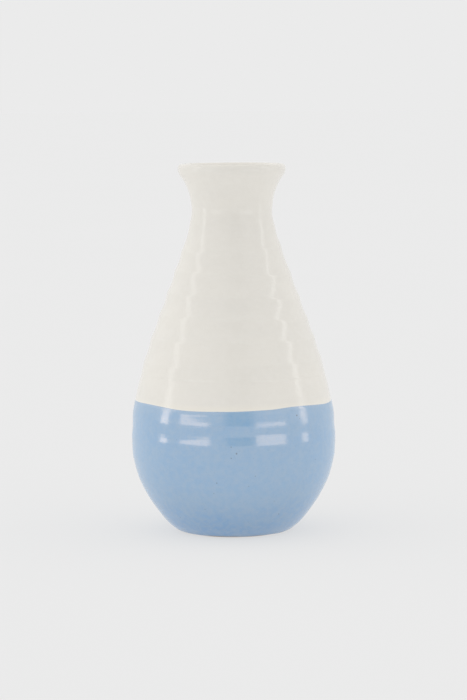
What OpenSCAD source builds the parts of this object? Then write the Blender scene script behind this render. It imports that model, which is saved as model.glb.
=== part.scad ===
// Bud vase: a wheel-thrown stoneware bottle with a teardrop belly, a narrow
// neck and a flared round lip. A cream glaze covers the upper part and a blue
// glaze the lower part; they meet on a level line at about a third of the
// height. The foot is left bare. Every solid is a body of revolution about Z,
// and Z = 0 is the surface that the foot ring stands on.

/* [Vase] */
// Overall height
vase_h = 150; // [130:1:180]
// Largest diameter, at the belly
belly_d = 83.5; // [76:0.5:92]
// Smallest diameter, at the neck
neck_d = 33; // [30:1:38]
// Diameter over the flared lip
lip_d = 44; // [41:1:50]
// Outer diameter of the ring that the vase stands on
foot_d = 41; // [37:1:45]

/* [Clay wall] */
// Thickness of the wall at the shoulder and the upper belly
wall = 3.6; // [3:0.1:4.5]
// Thickness of the wall at the neck
neck_wall = 3.4; // [2.8:0.1:4]
// Height of the inside floor above the table
floor_h = 6.5; // [5.5:0.5:9]
// Width of the ring that the vase stands on
foot_w = 4.5; // [3:0.5:7]
// Depth of the hollow inside the foot ring
foot_hollow = 1.6; // [1:0.1:2.5]

/* [Glaze] */
// Thickness of the glaze coats
glaze_t = 0.4; // [0.3:0.05:0.6]
// Height of the line where the cream and the blue glaze meet
dip_z = 53.5; // [40:0.5:70]
// How far the blue glaze laps over the thin lower edge of the cream
lap = 2; // [1:0.5:4]
// Height of the lower edge of the blue glaze above the table
bare_h = 0.8; // [0.6:0.1:3]
// How far down inside the mouth the cream glaze meets the liner glaze
mouth_run = 6; // [4:1:12]

/* [Throwing rings] */
// Distance from one finger ring to the next
ring_pitch = 9; // [7:0.1:13]
// Height of a finger ring, from hollow to crest
ring_depth = 0.3; // [0:0.02:0.4]
// Height of the lowest crest above the table
ring_z = 16.4; // [8:0.1:18]

/* [Hidden] */
$fn = 96;

// Points along each span of the profile curve
steps = 6;

// The nominal shape is 150 mm high, 83.5 mm across the belly, 33 mm across the
// neck and 44 mm across the lip; these factors stretch it to the sizes above
kz = vase_h / 150;
kb = belly_d / 83.5;
kn = neck_d / 33;
kl = lip_d / 44;
km = (kb + kn) / 2;

// Control points up the outside of the clay, from the foot ring to the neck
outer = [
    [foot_d / 2, 0],
    [foot_d / 2 + 0.8, 0],
    [25.9 * kb, 2.5 * kz],
    [31.1 * kb, 8.6 * kz],
    [38.6 * kb, 20 * kz],
    [42.3 * kb, 35 * kz],
    [40.0 * kb, 52 * kz],
    [36.2 * kb, 70 * kz],
    [29.6 * kb, 88 * kz],
    [23.4 * km, 105 * kz],
    [18 * kn, 120 * kz],
    [15.2 * kn, 131 * kz]
];

// Control points over the lip
lip = [
    [17.3 * kn, 139.5 * kz],
    [19.2 * kl, 143.8 * kz],
    [21.4 * kl, 146.2 * kz],
    [21.7 * kl, 148.9 * kz],
    [20.4 * kl, 149.9 * kz],
    [18.4 * kl, 149.1 * kz],
    [16.1 * kl, 145 * kz]
];

// Point i of the list P moved to the left of the curve by d
function inset(P, i, d) =
    let (a = P[i + 1] - P[i - 1]) P[i] + d * [-a[1], a[0]] / norm(a);

// Wall thickness at control point i of the outside
function wall_at(i) = i <= 5 ? wall + 0.6 : i <= 9 ? wall : neck_wall;

// Control points down the inside of the wall and across the floor
over = concat(outer, lip);
inner = concat(
    [[13.6 * kn, 140.5 * kz]],
    [for (i = [11 : -1 : 5]) inset(over, i, wall_at(i))],
    [
        [32.6 * kb, 21 * kz],
        [24.5 * kb, floor_h + 4.5],
        [13 * kb, floor_h],
        [0, floor_h]
    ]
);

// Uniform cubic B-spline on the points P, n steps a span, whose ends reach
// the first and the last point
function spline_at(P, i, t) =
    ((1 - t) * (1 - t) * (1 - t) * P[i]
    + (3 * t * t * t - 6 * t * t + 4) * P[i + 1]
    + (-3 * t * t * t + 3 * t * t + 3 * t + 1) * P[i + 2]
    + t * t * t * P[i + 3]) / 6;
function spline(P, n) =
    let (
        m = len(P),
        Q = concat([2 * P[0] - P[1]], P, [2 * P[m - 1] - P[m - 2]])
    )
    concat([for (i = [0 : m - 2], k = [0 : n - 1]) spline_at(Q, i, k / n)], [P[m - 1]]);

// Throwing rings: they fade out over the foot and over the neck
function fade(h) = h < 6 || h > 142 ? 0 : min(1, (h - 6) / 12, (142 - h) / 14);
function ring(z) =
    ring_depth / 2 * cos(360 * (z - ring_z) / ring_pitch) * fade(z / kz);

// Index of the highest point of a curve, which is the top of the lip
function top_of(P) = let (h = max([for (p = P) p[1]])) [for (i = [0 : len(P) - 1]) if (P[i][1] == h) i][0];

// The raw curve, stretched so that the glazed lip reaches the overall height
raw = spline(concat(outer, lip, inner), steps);
top = top_of(raw);
fit_z = (vase_h - glaze_t) / raw[top][1];

// Face of the clay: up the outside with its rings, over the lip, down the
// inside and across the floor to the axis
clay = [
    for (i = [0 : len(raw) - 1])
        [raw[i][0] + (i < top ? ring(raw[i][1]) : 0), raw[i][1] * fit_z]
];
last = len(clay) - 1;

// Face of the glaze: the face of the clay moved outwards by the coat
function out_dir(i) =
    i == last ? [0, 1] :
    let (a = clay[i + 1] - clay[max(i - 1, 0)]) [a[1], -a[0]] / norm(a);
face = [for (i = [0 : last]) clay[i] + glaze_t * out_dir(i)];

// Point where a rising stretch of a curve, or a falling one, reaches height z
function cross_at(P, i, z) =
    let (t = (z - P[i][1]) / (P[i + 1][1] - P[i][1])) P[i] + t * (P[i + 1] - P[i]);
function up_i(P, z) = [for (i = [0 : top - 1]) if (P[i][1] < z && P[i + 1][1] >= z) i][0];
function down_i(P, z) = [for (i = [top : last - 1]) if (P[i][1] >= z && P[i + 1][1] < z) i][0];

// Stretches of the two faces between the edges of the coats
mouth_z = vase_h - mouth_run;
c_bare = up_i(clay, bare_h);
c_lap = up_i(clay, dip_z - lap);
f_dip = up_i(face, dip_z);
c_mouth = down_i(clay, mouth_z);

bare_pt = cross_at(clay, c_bare, bare_h);
lap_pt = cross_at(clay, c_lap, dip_z - lap);
dip_pt = cross_at(face, f_dip, dip_z);

function part_of(P, a, b) = a <= b ? [for (i = [a : b]) P[i]] : [for (i = [a : -1 : b]) P[i]];

// Fired clay, turned in one piece, with a shallow hollow inside the foot ring
module clay_body() {
    foot_in = foot_d / 2 - foot_w;
    color([0.86, 0.80, 0.72])
        rotate_extrude()
            polygon(concat(
                [[0, foot_hollow], [foot_in - 2, foot_hollow], [foot_in - 0.8, foot_hollow * 0.6], [foot_in, 0]],
                clay
            ));
}

// Upper coat: from the meeting line up the outside, over the lip and a short
// way down inside the mouth; its lower edge thins out under the blue
module cream_glaze() {
    color([0.87, 0.86, 0.82])
        rotate_extrude()
            polygon(concat(
                [dip_pt],
                part_of(face, f_dip + 1, c_mouth),
                part_of(clay, c_mouth, c_lap + 1),
                [lap_pt]
            ));
}

// Lower coat: from just above the bare foot up to the meeting line
module blue_glaze() {
    color([0.58, 0.69, 0.79])
        rotate_extrude()
            polygon(concat(
                [bare_pt],
                part_of(face, c_bare + 3, f_dip),
                [dip_pt, lap_pt],
                part_of(clay, c_lap, c_bare + 1)
            ));
}

// Inside coat, from the cream coat in the mouth down over the whole floor
module liner_glaze() {
    color([0.84, 0.82, 0.77])
        rotate_extrude()
            polygon(concat(
                part_of(face, c_mouth, last),
                part_of(clay, last, c_mouth)
            ));
}

clay_body();
cream_glaze();
blue_glaze();
liner_glaze();
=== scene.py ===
import math

import bpy
import numpy as np
from mathutils import Euler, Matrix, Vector


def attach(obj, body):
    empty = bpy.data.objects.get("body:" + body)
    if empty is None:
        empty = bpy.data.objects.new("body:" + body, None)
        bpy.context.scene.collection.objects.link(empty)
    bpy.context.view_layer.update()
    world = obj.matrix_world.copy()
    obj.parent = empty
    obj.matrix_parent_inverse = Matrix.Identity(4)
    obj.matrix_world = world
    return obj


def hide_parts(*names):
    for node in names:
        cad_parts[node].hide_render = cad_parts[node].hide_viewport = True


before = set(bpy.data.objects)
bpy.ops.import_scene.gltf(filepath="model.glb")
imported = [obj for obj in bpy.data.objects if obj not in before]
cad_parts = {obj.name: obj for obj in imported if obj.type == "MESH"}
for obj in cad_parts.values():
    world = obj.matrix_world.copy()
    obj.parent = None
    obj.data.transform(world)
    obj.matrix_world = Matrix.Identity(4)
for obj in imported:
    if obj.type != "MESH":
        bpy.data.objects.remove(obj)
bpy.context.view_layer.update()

MM = 0.001
rng = np.random.default_rng(150)

# ---------------------------------------------------------------- the profile
# The same curve as the CAD part, in millimetres: the face of the clay that is
# under glaze runs from the foot ring up the outside, over the lip, down the
# inside and across the floor to the axis.
VASE_H = 150.0
COAT = 0.4
DIP_Z = 53.6
LAP = 2.0
BARE_H = 0.8
MOUTH_Z = 144.0
HOLLOW = 1.6
OUTER = [(20.5, 0), (21.3, 0), (25.9, 2.5), (31.1, 8.6), (38.6, 20), (42.3, 35), (40.0, 52), (36.2, 70),
         (29.6, 88), (23.4, 105), (18, 120), (15.2, 131)]
LIP = [(17.3, 139.5), (19.2, 143.8), (21.4, 146.2), (21.7, 148.9), (20.4, 149.9), (18.4, 149.1), (16.1, 145)]
# Throwing rings: heights of the ridges that the fingers left, and how deep the
# hollow above each one is
RIDGES = [5.5, 14.0, 22.5, 31.5, 40.3, 47.2, 52.3, 61.6, 70.1, 79.2, 88.1, 96.9, 105.9, 115.2, 124.9, 133.5, 142.0]
HOLLOWS = [0.03, 0.06, 0.11, 0.19, 0.24, 0.20, 0.27, 0.30, 0.46, 0.43, 0.52, 0.58, 0.48, 0.36, 0.20, 0.07]
# Round the meeting line the rings are less even: how many degrees the wall leans
# inwards at each height there, on the whole and to the left of the front
BAND = [(38, -1), (39.3, 0.5), (39.7, 2.3), (40.3, 6), (41.6, 7), (42.8, 6), (43.4, 3.5), (43.7, 2.3), (44.4, 0.5),
        (45.6, 0), (46.7, 0.8), (47.4, 2.3), (47.9, 5.5), (48.4, 6.8), (49.0, 8.1), (49.5, 10.5), (50.5, 12.6), (52, 13),
        (54, 12.6), (55.5, 11.5), (56.7, 10.5), (57.6, 12), (58.8, 13), (60, 12.6), (61, 12.8), (62.5, 16.5), (64, 16)]
BAND_LEFT = [(38, 0), (39.7, 1.2), (40.1, 2.3), (40.6, 5), (41.3, 5), (41.8, 2.3), (42.4, 1.2), (43.6, 0.8),
             (45.5, 0.8), (47, 1.2), (47.9, 2.3), (48.4, 5.5), (49.2, 6.8), (50.5, 6.8), (51.2, 8.1), (51.8, 11.5),
             (52.8, 13), (54, 13), (55, 12.5), (56, 14.2), (57.5, 15.2), (60, 15.2), (61.2, 16), (62.7, 18.6), (64, 17)]
LEFT_AT = [-180, -120, -75, -60, -44, -31, -22, -13, 0, 14, 180]
LEFT_SHARE = [0.0, 0.2, 0.4, 0.45, 0.55, 1.0, 0.75, 0.45, 0.15, 0.0, 0.0]
# How far the ridges rise to the right and sink to the left, by height
RISE_Z = [40, 55, 61.5, 70, 79, 88, 97, 106, 115, 125]
RISE = [0.0, 0.0, 0.3, 0.7, 0.0, -1.1, -1.1, -0.6, 1.2, -0.7]


def wall_at(i):
    return 4.2 if i <= 5 else 3.6 if i <= 9 else 3.4


def inset(p, i, d):
    ax, ay = p[i + 1][0] - p[i - 1][0], p[i + 1][1] - p[i - 1][1]
    n = math.hypot(ax, ay)
    return (p[i][0] - d * ay / n, p[i][1] + d * ax / n)


def spline(points, steps):
    q = np.array(points, float)
    q = np.vstack([2 * q[0] - q[1], q, 2 * q[-1] - q[-2]])
    out = []
    for i in range(len(points) - 1):
        for k in range(steps):
            t = k / steps
            w = np.array([(1 - t) ** 3, 3 * t ** 3 - 6 * t * t + 4, -3 * t ** 3 + 3 * t * t + 3 * t + 1, t ** 3]) / 6
            out.append(w @ q[i:i + 4])
    out.append(q[-2])
    return np.array(out)


over = OUTER + LIP
inner = [(13.6, 140.5)] + [inset(over, i, wall_at(i)) for i in range(11, 4, -1)] \
    + [(32.6, 21), (24.5, 11), (13, 6.5), (0, 6.5)]
fine = spline(over + inner, 60)
fine[:, 1] *= (VASE_H - COAT) / fine[:, 1].max()
fine_top = int(np.argmax(fine[:, 1]))
fine_s = np.concatenate([[0], np.cumsum(np.hypot(*np.diff(fine, axis=0).T))])
S_TOP = fine_s[fine_top]
S_END = fine_s[-1]
d = np.gradient(fine, fine_s, axis=0)
fine_n = np.c_[d[:, 1], -d[:, 0]]
fine_n /= np.linalg.norm(fine_n, axis=1)[:, None]
fine_n[-1] = (0, 1)


def at_s(s):
    """Point and outward normal of the clay face at arc length s."""
    p = np.c_[np.interp(s, fine_s, fine[:, 0]), np.interp(s, fine_s, fine[:, 1])]
    n = np.c_[np.interp(s, fine_s, fine_n[:, 0]), np.interp(s, fine_s, fine_n[:, 1])]
    return p, n / np.linalg.norm(n, axis=1)[:, None]


def s_up(z):
    """Arc length where the outside reaches height z."""
    return np.interp(z, fine[:fine_top + 1, 1], fine_s[:fine_top + 1])


def s_down(z):
    """Arc length where the inside reaches height z."""
    return np.interp(z, fine[fine_top:, 1][::-1], fine_s[fine_top:][::-1])


# ------------------------------------------------------ marks left by the hand
def smooth(a, b, x):
    t = np.clip((x - a) / (b - a), 0, 1)
    return t * t * (3 - 2 * t)


# Height of the line where the glazes meet, every so many degrees round the
# vase (0 is the front, 90 the right)
LINE_AT = [-180, -150, -120, -95, -75, -60, -50, -41, -33, -24, -10, 2, 14, 24, 34, 45, 56, 68, 82, 105, 130, 155]
LINE_Z = [53.9, 53.5, 53.2, 53.6, 54.1, 54.35, 54.25, 53.85, 53.35, 53.15, 53.3, 53.3, 53.6, 53.6, 54.35, 54.15,
          53.8, 53.2, 53.3, 53.6, 54.1, 54.2]


def dip_line(th):
    """Height of the line where the glazes meet; th is 0 at the front and grows to the right."""
    at = np.radians(np.array(LINE_AT + [LINE_AT[0] + 360], float))
    z = np.array(LINE_Z + [LINE_Z[0]], float)
    th = (np.asarray(th) + np.pi) % (2 * np.pi) - np.pi
    fine_at = np.linspace(-np.pi, np.pi, 1441)
    flat = np.interp(fine_at, at, z)[:-1]
    k = np.exp(-0.5 * (np.arange(-90, 91) / 18.0) ** 2)
    soft = np.convolve(np.concatenate([flat[-90:], flat, flat[:90]]), k / k.sum(), mode="valid")
    return np.interp(th, fine_at, np.append(soft, soft[0]))


def foot_line(th):
    """Height of the lower edge of the blue glaze."""
    return BARE_H + 0.10 * np.cos(3 * th + 0.4) + 0.08 * np.cos(8 * th + 2.0) + 0.05 * np.cos(17 * th)


def soften(h, width):
    k = np.exp(-0.5 * (np.arange(-60, 61) * 0.05 / width) ** 2)
    return np.convolve(np.pad(h, 60, mode="edge"), k / k.sum(), mode="valid")


def scallops(band):
    """Wide hollows between narrow ridges, sampled every 0.05 mm and softened at the ridges."""
    z = np.arange(0, 150, 0.05)
    h = np.zeros_like(z)
    for lo, hi, depth in zip(RIDGES[:-1], RIDGES[1:], HOLLOWS):
        u = (z - lo) / (hi - lo)
        h += np.where((u >= 0) & (u < 1), depth * ((2 * u - 1) ** 2 - 1), 0.0)
    upper = smooth(62, 68, z)
    h = soften(h, 0.42) * (1 - upper) + soften(h, 0.55) * upper
    middles = [(lo + hi) / 2 for lo, hi in zip(RIDGES[:-1], RIDGES[1:])]
    h += 0.62 * np.interp(z, middles, HOLLOWS)
    # the band round the meeting line, joined on at both ends
    wall = fine[:fine_top + 1]
    lean = np.interp(z, wall[:, 1], fine_n[:fine_top + 1, 1] / fine_n[:fine_top + 1, 0])
    at, degrees = np.array(band, float).T
    a, b = int(round(at[0] / 0.05)), int(round(at[-1] / 0.05))
    slope = lean[a:b] - np.tan(np.radians(np.interp(z[a:b], at, degrees)))
    run = np.concatenate([[0], np.cumsum(slope) * 0.05])
    h[a:b + 1] = h[a] + run + (h[b] - h[a] - run[-1]) * np.linspace(0, 1, len(run))
    return z, h * smooth(1, 10, z)


RING_ZS, RING_HS = scallops(BAND)
LEFT_HS = scallops(BAND_LEFT)[1]


def finger_rings(z, th):
    """Height of the throwing rings on the outside."""
    shift = -np.interp(z, RISE_Z, RISE) * np.sin(th) + 0.25 * np.sin(2 * th + 1.3 + 0.11 * z) * smooth(60, 75, z)
    strength = 1 + 0.10 * np.sin(th * 2 + z * 0.07)
    turn = (np.degrees(th) + 180) % 360 - 180
    left = np.interp(turn, LEFT_AT, LEFT_SHARE)
    h = np.interp(z + shift, RING_ZS, RING_HS) * (1 - left) + np.interp(z + shift, RING_ZS, LEFT_HS) * left
    h = h * strength
    # a short extra ridge on the right, just above the meeting line
    side = np.clip(1 - ((th - 0.85) / 0.75) ** 2, 0, 1)
    h = h + side * (0.07 * np.exp(-0.5 * ((z - 57.6) / 1.1) ** 2) - 0.03 * np.exp(-0.5 * ((z - 54.5) / 1.3) ** 2))
    # a low ledge where a finger slipped
    over_ledge = z + 0.2 * np.sin(th) - 65.0
    h = h + 0.08 * (1 + np.tanh(over_ledge / 0.38)) * np.exp(-np.clip(over_ledge, 0, None) / 3.0)
    # fine turning lines
    for at, size, width in ((66.1, -0.010, 0.33), (73.6, 0.006, 0.3), (91.5, -0.006, 0.35), (101.2, 0.006, 0.3),
                            (35.6, 0.006, 0.35), (28.2, -0.006, 0.4), (19.0, 0.008, 0.4), (111.0, -0.005, 0.3)):
        h = h + size * np.exp(-0.5 * ((z + 0.3 * np.sin(th * 1.0 + at) - at) / width) ** 2)
    return h


def inside_rings(s, th):
    fade = np.clip(np.minimum((s - S_TOP - 14) / 12, (S_END - 18 - s) / 14), 0, 1)
    return 0.10 * fade * np.cos(2 * np.pi * (s + 0.8 * np.sin(th)) / 11.0)


def out_of_round(z, th):
    """The whole wall wanders a few hundredths of a millimetre from a true circle."""
    k = smooth(2, 25, z)
    return k * (0.04 * np.cos(2 * th + 0.6 + 0.012 * z) + 0.025 * np.cos(3 * th - 0.02 * z))


# ------------------------------------------------------------- building meshes
N_TH = 168
TH = np.linspace(0, 2 * np.pi, N_TH, endpoint=False)


def surface(s_rows, thick):
    """Grid of points, rows along the profile and columns round the axis.
    s_rows is (rows, columns) of arc length; thick is the height above the clay."""
    rows = s_rows.shape[0]
    th = np.broadcast_to(TH, s_rows.shape)
    p, n = at_s(s_rows.ravel())
    p = p.reshape(rows, N_TH, 2)
    n = n.reshape(rows, N_TH, 2)
    outside = s_rows <= S_TOP
    z = p[..., 1]
    relief = np.where(outside, finger_rings(z, th), inside_rings(s_rows, th))
    h = thick + relief
    r = p[..., 0] + n[..., 0] * h
    z2 = p[..., 1] + n[..., 1] * h
    r = np.where(r < 1e-6, 0, r + out_of_round(z, th) * np.clip(r / 5, 0, 1))
    return np.stack([r * np.sin(th), -r * np.cos(th), z2], -1)


def closed_mesh(name, grid):
    """A closed surface from a closed loop of rows. A row on the axis becomes one point."""
    rows = grid.shape[0]
    pole = np.max(np.hypot(grid[..., 0], grid[..., 1]), axis=1) < 1e-5
    verts, index = [], []
    for i in range(rows):
        if pole[i]:
            index.append(np.full(N_TH, len(verts)))
            verts.append(grid[i].mean(0))
        else:
            index.append(np.arange(len(verts), len(verts) + N_TH))
            verts.extend(grid[i])
    faces = []
    for i in range(rows):
        a, b = index[i], index[(i + 1) % rows]
        if pole[i] and pole[(i + 1) % rows]:
            continue
        for j in range(N_TH):
            k = (j + 1) % N_TH
            quad = (a[j], a[k], b[k], b[j])
            loop = [int(v) for n_, v in enumerate(quad) if v != quad[n_ - 1]]
            faces.append(loop)
    me = bpy.data.meshes.new(name)
    me.from_pydata([tuple(v * MM) for v in np.array(verts)], [], faces)
    me.validate()
    me.update()
    ob = bpy.data.objects.new(name, me)
    bpy.context.scene.collection.objects.link(ob)
    for poly in me.polygons:
        poly.use_smooth = True
    me.set_sharp_from_angle(angle=math.radians(45))
    return ob


def rows_between(s0, s1, spacing, dense=()):
    """Shares from 0 to 1 along a stretch from s0 to s1, with extra rows close to the places in dense."""
    length = abs(s1 - s0)
    t = list(np.linspace(0, 1, max(3, int(length / spacing))))
    for where, offsets in dense:
        for o in offsets:
            x = where + o / length
            if 0 < x < 1:
                t.append(x)
    t = np.unique(np.round(t, 6))
    keep = [t[0]]
    for x in t[1:]:
        if (x - keep[-1]) * length > 0.03:
            keep.append(x)
    keep[-1] = 1.0
    return np.array(keep)


NEAR = (0.06, 0.12, 0.2, 0.3, 0.42, 0.6, 0.85, 1.2, 1.6, 2.1)
s_dip = s_up(dip_line(TH))
s_lap = s_up(dip_line(TH) - LAP)
s_foot = s_up(foot_line(TH))
s_mouth = np.full(N_TH, s_down(MOUTH_Z))


def stretch(a, b, t):
    return a[None, :] + (b - a)[None, :] * t[:, None]


# cream coat: up the outside, over the lip, into the mouth
t_out = rows_between(s_dip.mean(), s_mouth[0], 0.62, [(0, NEAR + tuple(np.arange(2.3, 10.2, 0.31)) + tuple(np.arange(10.2, 13.4, 0.14)))])
grid_s = stretch(s_dip, s_mouth, t_out)
z_rows = at_s(grid_s.ravel())[0][:, 1].reshape(grid_s.shape)
above = z_rows - dip_line(TH)[None, :]
cream_t = COAT - 0.05 * np.exp(-((grid_s - S_TOP) / 1.6) ** 2) - 0.05 * np.exp(-(above / 1.5) ** 2) * (grid_s < S_TOP)
cream_face = surface(grid_s, cream_t)
t_back = rows_between(s_lap.mean(), s_mouth[0], 0.9)
cream_back = surface(stretch(s_lap, s_mouth, t_back), 0.0)
cream = closed_mesh("vase_cream_glaze", np.concatenate([cream_face, cream_back[::-1]]))

# blue coat: from the bare foot up to the line, with a soft roll at both edges
t_out = rows_between(s_foot.mean(), s_dip.mean(), 0.62, [(0, NEAR), (1, [-o for o in NEAR + tuple(np.arange(2.3, 16, 0.31))])])
grid_s = stretch(s_foot, s_dip, t_out)
from_foot = grid_s - s_foot[None, :]
from_dip = s_dip[None, :] - grid_s
roll = np.sqrt(np.clip(1 - (1 - np.clip(from_foot / 0.7, 0, 1)) ** 2, 0, 1))
lip_up = np.sqrt(np.clip(1 - (1 - np.clip(from_dip / 0.45, 0, 1)) ** 2, 0, 1))
blue_t = (COAT - 0.05) * roll + 0.06 * lip_up * roll + 0.07 * np.exp(-((from_dip - 0.9) / 0.8) ** 2) * lip_up \
    + 0.10 * np.exp(-((from_foot - 1.2) / 1.2) ** 2) * roll
blue_face = surface(grid_s, blue_t)
t_back = rows_between(s_foot.mean(), s_lap.mean(), 0.9)
blue_back = surface(stretch(s_foot, s_lap, t_back), 0.0)
blue = closed_mesh("vase_blue_glaze", np.concatenate([blue_face, blue_back[1:][::-1]]))

# liner coat: from the cream in the mouth down over the floor
t_in = rows_between(s_mouth[0], S_END, 0.9)
s_end = np.full(N_TH, S_END)
liner_face = surface(stretch(s_mouth, s_end, t_in), COAT)
liner_back = surface(stretch(s_mouth, s_end, t_in), 0.0)
liner = closed_mesh("vase_liner_glaze", np.concatenate([liner_face, liner_back[::-1]]))

# clay: the underside with its turning marks, then the whole glazed face
under_r = np.concatenate([np.linspace(0, 13.7, 48), [14.1, 14.5, 14.9, 15.2, 15.45, 15.65, 15.8, 15.95, 16.15, 16.45, 16.9],
                          np.linspace(17.6, 19.9, 4)])
under = []
for r in under_r:
    z = HOLLOW * (1 - float(smooth(13.7, 16.1, r)))
    if r <= 13.7:
        z += 0.05 * math.cos(2 * math.pi * r / 1.3) * min(1, r / 1.3) * min(1, (13.7 - r) / 1.0)
    under.append((r, max(z, 0.0)))
under = np.array(under)
under_grid = np.stack([
    under[:, 0][:, None] * np.sin(TH)[None, :],
    -under[:, 0][:, None] * np.cos(TH)[None, :],
    np.broadcast_to(under[:, 1][:, None], (len(under), N_TH)),
], -1)
t_clay = rows_between(0, S_END, 0.9, [(0, (0.1, 0.25, 0.5, 0.75, 1, 1.4, 1.8, 2.3, 2.8, 3.4, 4.0))])
clay_grid = surface(np.broadcast_to((t_clay * S_END)[:, None], (len(t_clay), N_TH)).copy(), 0.0)
clay = closed_mesh("vase_clay_body", np.concatenate([under_grid, clay_grid]))

for ob, node, slot in ((clay, "clay_body", "clay"), (cream, "cream_glaze", "cream_glaze"),
                       (blue, "blue_glaze", "blue_glaze"), (liner, "liner_glaze", "liner_glaze")):
    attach(ob, "root")
    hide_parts(node)


# ------------------------------------------------------------------ materials
class Nodes:
    """Small helper that adds nodes and links to a material or world."""

    def __init__(self, tree):
        self.t = tree

    def add(self, kind, inputs=None, **props):
        n = self.t.nodes.new(kind)
        for k, v in props.items():
            setattr(n, k, v)
        for k, v in (inputs or {}).items():
            self.plug(n.inputs[k], v)
        return n

    def plug(self, socket, v):
        if isinstance(v, bpy.types.NodeSocket):
            self.t.links.new(v, socket)
        else:
            socket.default_value = v

    def math(self, op, a, b=None, c=None, clamp=False):
        n = self.add("ShaderNodeMath", operation=op, use_clamp=clamp)
        for i, v in enumerate((a, b, c)):
            if v is not None:
                self.plug(n.inputs[i], v)
        return n.outputs[0]

    def vec(self, op, a, b=None):
        n = self.add("ShaderNodeVectorMath", operation=op)
        self.plug(n.inputs[0], a)
        if b is not None:
            self.plug(n.inputs[1], b)
        return n.outputs[1] if op in ("DISTANCE", "LENGTH", "DOT_PRODUCT") else n.outputs[0]

    def noise(self, vector, scale, detail=2.0, rough=0.5, distortion=0.0):
        n = self.add("ShaderNodeTexNoise", {"Vector": vector, "Scale": scale, "Detail": detail,
                                            "Roughness": rough, "Distortion": distortion})
        return n.outputs["Fac"] if "Fac" in n.outputs else n.outputs[0]

    def ramp(self, x, a, b, lo=0.0, hi=1.0, kind="SMOOTHSTEP"):
        n = self.add("ShaderNodeMapRange", interpolation_type=kind)
        for k, v in (("Value", x), ("From Min", a), ("From Max", b), ("To Min", lo), ("To Max", hi)):
            self.plug(n.inputs[k], v)
        return n.outputs["Result"]

    def mix(self, fac, a, b, blend="MIX"):
        n = self.add("ShaderNodeMix", data_type="RGBA", blend_type=blend)
        self.plug(n.inputs[0], fac)
        for i, v in ((6, a), (7, b)):
            if isinstance(v, (tuple, list)) and len(v) == 3:
                v = (*v, 1.0)
            self.plug(n.inputs[i], v)
        return n.outputs[2]


def material(name):
    m = bpy.data.materials.new(name)
    m.use_nodes = True
    m.node_tree.nodes.clear()
    b = Nodes(m.node_tree)
    out = b.add("ShaderNodeOutputMaterial")
    bsdf = b.add("ShaderNodeBsdfPrincipled")
    b.t.links.new(bsdf.outputs[0], out.inputs["Surface"])
    pos = b.add("ShaderNodeTexCoord").outputs["Object"]
    sep = b.add("ShaderNodeSeparateXYZ", {0: pos})
    return m, b, bsdf, pos, sep.outputs


def bumps(b, bsdf, layers):
    """Adds up height maps given in metres and plugs them into the normal."""
    total = None
    for height, size in layers:
        h = b.math("MULTIPLY", height, size)
        total = h if total is None else b.math("ADD", total, h)
    n = b.add("ShaderNodeBump", {"Strength": 1.0, "Distance": 1.0, "Height": total})
    b.plug(bsdf.inputs["Normal"], n.outputs[0])


# Iron specks seen on the front: angle round the axis, height, radius, all in degrees and millimetres
SPECKS = [
    (1.5, 37.8, 0.34), (-1.4, 40.4, 0.22), (-1.4, 36.0, 0.22), (-9.8, 25.9, 0.24), (12.0, 28.6, 0.2),
    (-12.0, 21.5, 0.18), (8.5, 24.5, 0.16), (38.2, 51.5, 0.33), (40.0, 50.2, 0.16), (-19.5, 14.5, 0.18),
    (33.0, 11.5, 0.22), (-44.0, 9.6, 0.2), (52.0, 33.0, 0.16), (-33.0, 42.5, 0.14), (26.0, 17.5, 0.15),
]


def glaze_point(angle, z):
    """Point on the outer face of the glaze, in metres."""
    z = z - 0.8
    p, n = at_s(np.array([float(s_up(z))]))
    a = math.radians(angle)
    h = COAT + float(finger_rings(np.array([z]), np.array([a]))[0])
    r = p[0, 0] + n[0, 0] * h + float(out_of_round(z, a))
    return (r * math.sin(a) * MM, -r * math.cos(a) * MM, (z + n[0, 1] * h) * MM)


def speck_mask(b, pos, share, size_mm, spacing_mm, soft=0.5, seed=0.0):
    """Scattered dots: a share of the cells of a grid hold one."""
    shifted = b.vec("ADD", pos, (seed, seed * 1.7, seed * 0.6))
    v = b.add("ShaderNodeTexVoronoi", {"Vector": shifted, "Scale": 1000.0 / spacing_mm, "Randomness": 1.0})
    chance = b.add("ShaderNodeSeparateColor", {0: v.outputs["Color"]}).outputs
    near = b.math("MULTIPLY", v.outputs["Distance"], spacing_mm)
    size = b.math("MULTIPLY", b.ramp(chance[1], 0, 1, 0.45, 1.0, "LINEAR"), size_mm)
    edge = b.math("SUBTRACT", b.math("DIVIDE", near, size), 1.0)
    dot = b.ramp(edge, -soft, soft, 1.0, 0.0)
    return b.math("MULTIPLY", dot, b.math("LESS_THAN", chance[0], share))


def listed_specks(b, pos):
    total = None
    for angle, z, radius in SPECKS:
        dist = b.vec("DISTANCE", pos, glaze_point(angle, z))
        dot = b.ramp(dist, radius * 0.55 * MM, radius * 1.35 * MM, 1.0, 0.0)
        total = dot if total is None else b.math("MAXIMUM", total, dot)
    return total


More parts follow.
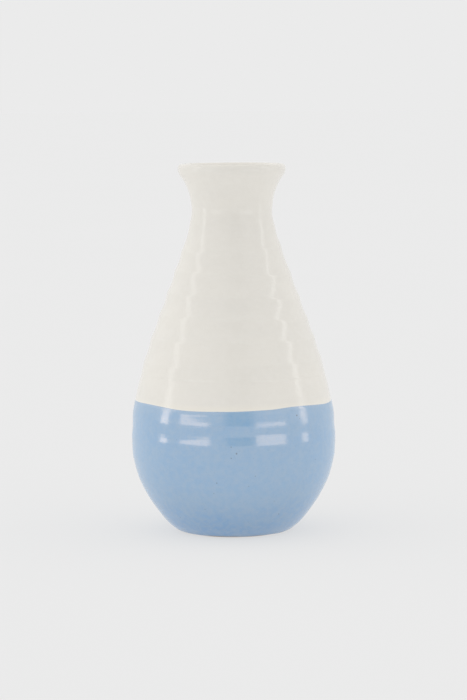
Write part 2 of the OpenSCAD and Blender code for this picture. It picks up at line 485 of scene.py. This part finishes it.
# blue glaze
mat_blue, b, bsdf, pos, xyz = material("blue_glaze")
flat = b.vec("MULTIPLY", pos, (1.0, 1.0, 3.0))
streak = b.vec("MULTIPLY", pos, (0.05, 0.05, 1.0))
cloud = b.noise(flat, 38.0, 3.0, 0.55)
mottle = b.noise(pos, 420.0, 4.0, 0.62)
grain = b.noise(pos, 1500.0, 2.0, 0.5)
lines = b.noise(streak, 900.0, 2.0, 0.5)
# painted shade: the blue is made darker towards the foot, most in its lowest two millimetres, standing in for the
# weaker light on the low belly and the shade where the vase meets the floor
base = b.mix(b.ramp(xyz[2], 0.001, 0.019), (0.182, 0.395, 0.690), (0.2625, 0.440, 0.653))
base = b.mix(b.ramp(xyz[2], 0.0022, 0.0008, 0.0, 0.55), base, (0.130, 0.260, 0.450))
base = b.mix(b.ramp(xyz[2], 0.0500, 0.0545, 0.0, 0.35), base, (0.36, 0.50, 0.64))
base = b.mix(b.ramp(cloud, 0.3, 0.7), base, b.mix(0.35, base, (0.32, 0.47, 0.63)))
base = b.mix(b.ramp(mottle, 0.30, 0.72, 0.0, 0.60), base, (0.333, 0.477, 0.635))
base = b.mix(b.ramp(grain, 0.55, 0.8, 0.0, 0.25), base, (0.19, 0.33, 0.50))
fine_specks = speck_mask(b, pos, 0.30, 0.13, 3.4, 0.6)
mid_specks = speck_mask(b, pos, 0.16, 0.20, 7.5, 0.5, 0.31)
mid_specks = b.math("MULTIPLY", mid_specks, b.ramp(xyz[1], -0.012, 0.004))
dots = b.math("MAXIMUM", b.math("MULTIPLY", fine_specks, 0.38), b.math("MULTIPLY", mid_specks, 0.8))
dots = b.math("MAXIMUM", dots, b.math("MULTIPLY", listed_specks(b, pos), 0.60), clamp=True)
base = b.mix(dots, base, (0.085, 0.105, 0.13))
b.plug(bsdf.inputs["Base Color"], base)
b.plug(bsdf.inputs["Roughness"], b.ramp(b.noise(pos, 90.0, 3.0), 0.25, 0.75, 0.11, 0.17))
bsdf.inputs["IOR"].default_value = 1.84
bsdf.inputs["Specular Tint"].default_value = (1.0, 0.72, 0.50, 1.0)
bumps(b, bsdf, [(b.noise(pos, 260.0, 2.0, 0.5), 0.000030), (lines, 0.000022), (grain, 0.0000025), (dots, 0.00001)])

# cream glaze
mat_cream, b, bsdf, pos, xyz = material("cream_glaze")
flat = b.vec("MULTIPLY", pos, (1.0, 1.0, 3.0))
streak = b.vec("MULTIPLY", pos, (0.05, 0.05, 1.0))
cloud = b.noise(flat, 30.0, 3.0, 0.55)
mottle = b.noise(pos, 380.0, 3.0, 0.6)
grain = b.noise(pos, 1500.0, 2.0, 0.5)
lines = b.noise(streak, 900.0, 2.0, 0.5)
base = b.mix(b.ramp(cloud, 0.3, 0.7), (0.753, 0.730, 0.680), (0.770, 0.745, 0.690))
base = b.mix(b.ramp(mottle, 0.35, 0.7, 0.0, 0.5), base, (0.783, 0.760, 0.711))
base = b.mix(b.ramp(xyz[2], 0.0565, 0.0540, 0.0, 0.6), base, (0.82, 0.785, 0.71))
base = b.mix(b.ramp(xyz[2], 0.1488, 0.1500, 0.0, 0.25), base, (0.72, 0.67, 0.58))
cream_dots = b.math("MULTIPLY", speck_mask(b, pos, 0.12, 0.12, 5.0, 0.6, 0.77), 0.30)
base = b.mix(cream_dots, base, (0.36, 0.30, 0.23))
b.plug(bsdf.inputs["Base Color"], base)
b.plug(bsdf.inputs["Roughness"], b.ramp(b.noise(pos, 80.0, 3.0), 0.25, 0.75, 0.09, 0.14))
bsdf.inputs["IOR"].default_value = 1.28
bumps(b, bsdf, [(b.noise(pos, 240.0, 2.0, 0.5), 0.000030), (lines, 0.000022), (grain, 0.0000025)])

# liner glaze
mat_liner, b, bsdf, pos, xyz = material("liner_glaze")
cloud = b.noise(pos, 60.0, 3.0, 0.55)
mottle = b.noise(pos, 380.0, 3.0, 0.6)
base = b.mix(b.ramp(cloud, 0.3, 0.7), (0.735, 0.705, 0.640), (0.770, 0.745, 0.690))
base = b.mix(b.ramp(xyz[2], 0.012, 0.007, 0.0, 0.4), base, (0.66, 0.63, 0.56))
base = b.mix(b.math("MULTIPLY", speck_mask(b, pos, 0.2, 0.14, 5.0, 0.6, 0.2), 0.4), base, (0.34, 0.28, 0.21))
b.plug(bsdf.inputs["Base Color"], base)
b.plug(bsdf.inputs["Roughness"], b.ramp(mottle, 0.3, 0.7, 0.16, 0.26))
bsdf.inputs["IOR"].default_value = 1.45
bumps(b, bsdf, [(b.noise(pos, 240.0, 2.0, 0.5), 0.00003)])

# bare clay of the foot
mat_clay, b, bsdf, pos, xyz = material("bare_clay")
cloud = b.noise(pos, 90.0, 4.0, 0.6)
grit = b.noise(pos, 1700.0, 4.0, 0.7)
turning = b.add("ShaderNodeTexNoise", {"Vector": b.vec("MULTIPLY", b.add("ShaderNodeCombineXYZ", {
    0: b.vec("LENGTH", b.vec("MULTIPLY", pos, (1.0, 1.0, 0.0))), 1: 0.0, 2: xyz[2]}).outputs[0], (1.0, 1.0, 1.0)),
    "Scale": 2200.0, "Detail": 2.0}).outputs[0]
base = b.mix(b.ramp(cloud, 0.3, 0.7), (0.56, 0.47, 0.37), (0.66, 0.575, 0.465))
base = b.mix(b.ramp(grit, 0.35, 0.75, 0.0, 0.45), base, (0.74, 0.67, 0.57))
base = b.mix(b.math("MULTIPLY", speck_mask(b, pos, 0.45, 0.16, 2.2, 0.5, 0.5), 0.75), base, (0.16, 0.11, 0.08))
# painted shade: the bare clay above the lowest fifth of a millimetre, meaning the band just over the table and the
# hollow under the foot, is darkened to grey-brown as the shadow where the vase meets the floor; only the ring it stands
# on keeps the clay colour
base = b.mix(b.ramp(xyz[2], 0.00003, 0.00022, 0.0, 0.80), base, (0.235, 0.215, 0.205))
b.plug(bsdf.inputs["Base Color"], base)
b.plug(bsdf.inputs["Roughness"], b.ramp(grit, 0.2, 0.8, 0.72, 0.92))
bumps(b, bsdf, [(grit, 0.00006), (turning, 0.00005), (cloud, 0.0001)])

for ob, m in ((blue, mat_blue), (cream, mat_cream), (liner, mat_liner), (clay, mat_clay)):
    ob.data.materials.clear()
    ob.data.materials.append(m)

# ---------------------------------------------------------------------- stage
FLOOR_GLOW = 0.612
me = bpy.data.meshes.new("floor")
ring_r = [0.0, 0.03, 0.08, 0.2, 0.5, 1.2, 3.0, 8.0, 30.0]
v = [(0, 0, 0)]
f = []
seg = 64
for i, r in enumerate(ring_r[1:]):
    v += [(r * math.cos(2 * math.pi * k / seg), r * math.sin(2 * math.pi * k / seg), 0) for k in range(seg)]
    for k in range(seg):
        k2 = (k + 1) % seg
        a = 1 + (i - 1) * seg
        c = 1 + i * seg
        f.append((0, c + k, c + k2) if i == 0 else (a + k, c + k, c + k2, a + k2))
me.from_pydata(v, [], f)
floor = bpy.data.objects.new("floor", me)
bpy.context.scene.collection.objects.link(floor)
mat_floor, b, bsdf, pos, xyz = material("pale_floor")
b.plug(bsdf.inputs["Base Color"], b.mix(b.ramp(b.noise(pos, 3.0, 2.0), 0.3, 0.7), (0.200, 0.200, 0.200), (0.202, 0.202, 0.202)))
bsdf.inputs["Roughness"].default_value = 1.0
bsdf.inputs["Specular IOR Level"].default_value = 0.0
bsdf.inputs["Emission Color"].default_value = (1.0, 1.0, 1.0, 1.0)
bsdf.inputs["Emission Strength"].default_value = FLOOR_GLOW
floor.data.materials.append(mat_floor)

world = bpy.data.worlds.new("studio")
bpy.context.scene.world = world
world.use_nodes = True
world.node_tree.nodes.clear()
b = Nodes(world.node_tree)
direction = b.add("ShaderNodeTexCoord").outputs["Generated"]
sep = b.add("ShaderNodeSeparateXYZ", {0: direction}).outputs
HORIZON = 0.831
level2 = b.math("MAXIMUM", b.math("ADD", b.math("MULTIPLY", sep[0], sep[0]), b.math("MULTIPLY", sep[1], sep[1])), 1e-5)
level = b.math("SQRT", level2)
two_a = b.math("DIVIDE", b.math("SUBTRACT", b.math("MULTIPLY", sep[1], sep[1]), b.math("MULTIPLY", sep[0], sep[0])), level2)
side = b.math("DIVIDE", sep[0], level)
sky = b.math("SUBTRACT", 1.12, b.math("MULTIPLY", two_a, 0.11))
sky = b.math("SUBTRACT", sky, b.math("MULTIPLY", side, 0.05))
up = b.math("ADD", HORIZON, b.math("MULTIPLY", b.math("SUBTRACT", sky, HORIZON), b.ramp(sep[2], 0.05, 0.34)))
toward = b.math("DIVIDE", b.math("SUBTRACT", b.math("MULTIPLY", sep[0], 0.139), b.math("MULTIPLY", sep[1], 0.990)), level)
dark = b.ramp(toward, 0.93, 0.990)
dark = b.math("MULTIPLY", dark, b.ramp(sep[2], 0.85, 0.45))
radiance = b.math("MULTIPLY", up, b.math("SUBTRACT", 1.0, b.math("MULTIPLY", dark, 0.92)))
bg = b.add("ShaderNodeBackground", {"Strength": 1.0})
b.plug(bg.inputs["Color"], b.add("ShaderNodeCombineColor", {0: radiance, 1: radiance, 2: radiance}).outputs[0])
b.t.links.new(bg.outputs[0], b.add("ShaderNodeOutputWorld").inputs["Surface"])


def softbox(name, azimuth, distance, low, high, width, radiance, color=(1.0, 1.0, 1.0)):
    """A rectangular light that stands at azimuth degrees round the vase (0 is the front, 90 the right) and faces it."""
    a = math.radians(azimuth)
    data = bpy.data.lights.new(name, "AREA")
    data.shape = "RECTANGLE"
    data.size = width
    data.size_y = high - low
    area = data.size * data.size_y
    data.energy = radiance * math.pi * area
    data.color = color
    ob = bpy.data.objects.new(name, data)
    bpy.context.scene.collection.objects.link(ob)
    z = (high + low) / 2
    ob.location = (distance * math.sin(a), -distance * math.cos(a), z)
    ob.rotation_euler = (Vector((0, 0, z)) - Vector(ob.location)).to_track_quat("-Z", "Y").to_euler()
    ob.visible_camera = False
    ob.visible_diffuse = False
    return ob


softbox("front_left_box", -43.8, 0.72, 0.010, 0.150, 0.46, 2.4)
softbox("front_right_box", 42.5, 0.72, 0.010, 0.140, 0.45, 2.05)
softbox("left_strip_low", -83.0, 0.60, 0.010, 0.130, 0.11, 3.15)
softbox("left_strip_high", -83.0, 0.60, 0.130, 0.70, 0.11, 2.25)
softbox("right_strip_low", 85.5, 0.60, 0.010, 0.165, 0.10, 2.0)
softbox("right_strip_high", 85.5, 0.60, 0.165, 0.70, 0.085, 3.0)

# light that comes back up from the table, felt by the matt part of the shading
# only; four panels leave the shaded spot round the foot free
SPOT, EDGE = 0.052, 0.70
for name, x, y, wide, deep in (("bounce_front", 0, -(SPOT + EDGE) / 2, 2 * EDGE, EDGE - SPOT),
                               ("bounce_back", 0, (SPOT + EDGE) / 2, 2 * EDGE, EDGE - SPOT),
                               ("bounce_left", -(SPOT + EDGE) / 2, 0, EDGE - SPOT, 2 * SPOT),
                               ("bounce_right", (SPOT + EDGE) / 2, 0, EDGE - SPOT, 2 * SPOT)):
    data = bpy.data.lights.new(name, "AREA")
    data.shape = "RECTANGLE"
    data.size = wide
    data.size_y = deep
    data.energy = 0.30 * math.pi * wide * deep
    panel = bpy.data.objects.new(name, data)
    bpy.context.scene.collection.objects.link(panel)
    panel.location = (x, y, 0.0012)
    panel.rotation_euler = (math.pi, 0, 0)
    panel.visible_camera = False
    panel.visible_glossy = False

cam_data = bpy.data.cameras.new("camera")
cam = bpy.data.objects.new("camera", cam_data)
bpy.context.scene.collection.objects.link(cam)
cam_data.sensor_width = 36.0
cam_data.lens = 129.5
cam_data.clip_start = 0.05
cam_data.clip_end = 60.0
cam.location = (0.0002, -1.025, 0.177)
cam.rotation_mode = "XYZ"
pitch, roll = math.radians(5.744), math.radians(0.42)
look = Vector((0, math.cos(pitch), -math.sin(pitch)))
q = look.to_track_quat("-Z", "Y")
from mathutils import Quaternion
cam.rotation_euler = (Quaternion(look, roll) @ q).to_euler()
bpy.context.scene.camera = cam

view = bpy.context.scene.view_settings
view.view_transform = "Standard"
view.look = "None"
view.exposure = 0.0
view.gamma = 1.0
